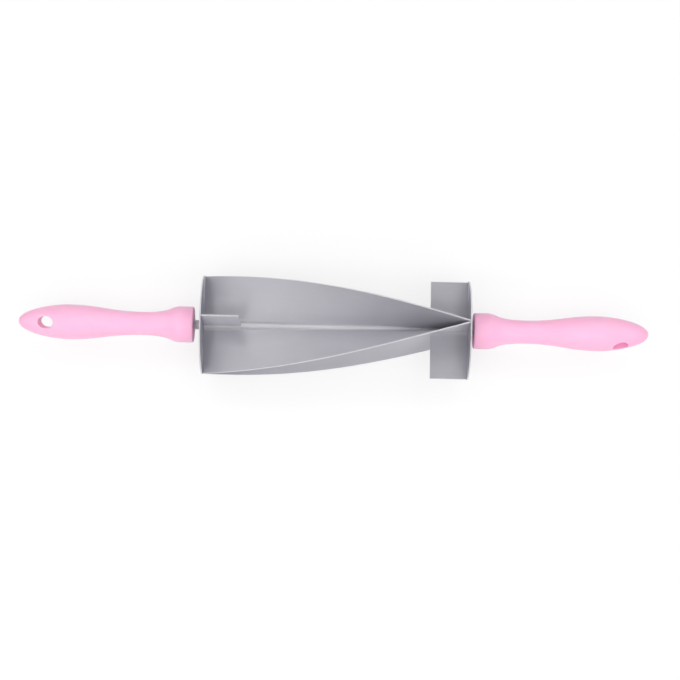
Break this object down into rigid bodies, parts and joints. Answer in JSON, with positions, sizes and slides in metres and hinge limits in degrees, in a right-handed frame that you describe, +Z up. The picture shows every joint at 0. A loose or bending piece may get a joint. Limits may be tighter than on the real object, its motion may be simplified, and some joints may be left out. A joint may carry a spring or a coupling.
{
  "type": "croissant cutter roller",
  "caption": "Rolling dough cutter: twisted steel blades between round end discs on an axle cut triangles, with short slit fins and free-turning moulded plastic handles.",
  "frame": {"origin": "on the axle's axis, half way between the two end discs", "axes": "+X along the axle towards the right handle, +Z up, +Y towards the rear"},
  "size_m": [0.3568, 0.056, 0.056],
  "materials": {
    "satin_steel": "satin cold-rolled sheet",
    "bright_steel": "bright drawn rod",
    "pink_plastic": "satin moulded polypropylene",
    "nylon": "moulded nylon, dyed to match the handles",
    "zinc_steel": "bright zinc plate"
  },
  "bodies": {
    "roller": {"axle": "bright_steel", "left_disc": "satin_steel", "right_disc": "satin_steel", "top_rear_blade": "satin_steel", "top_front_blade": "satin_steel", "bottom_rear_blade": "satin_steel", "bottom_front_blade": "satin_steel", "left_top_fin": "satin_steel", "left_bottom_fin": "satin_steel", "right_rear_fin": "satin_steel", "right_front_fin": "satin_steel", "left_push_nut": "zinc_steel", "right_push_nut": "zinc_steel"},
    "left_slider": {"left_washer": "zinc_steel"},
    "left_grip": {"left_handle": "pink_plastic", "left_bush": "nylon"},
    "right_slider": {"right_washer": "zinc_steel"},
    "right_grip": {"right_handle": "pink_plastic", "right_bush": "nylon"}
  },
  "joints": [
    {"name": "left_end_float", "type": "slide", "parent": "roller", "child": "left_slider", "axis": [1, 0, 0], "range_m": [0, 0.0045]},
    {"name": "left_handle_spin", "type": "hinge", "parent": "left_slider", "child": "left_grip", "pos_m": [-0.0863, 0, 0], "axis": [1, 0, 0], "continuous": true},
    {"name": "right_end_float", "type": "slide", "parent": "roller", "child": "right_slider", "axis": [1, 0, 0], "range_m": [-0.0021, 0.0024]},
    {"name": "right_handle_spin", "type": "hinge", "parent": "right_slider", "child": "right_grip", "pos_m": [0.0839, 0, 0], "axis": [1, 0, 0], "continuous": true}
  ]
}
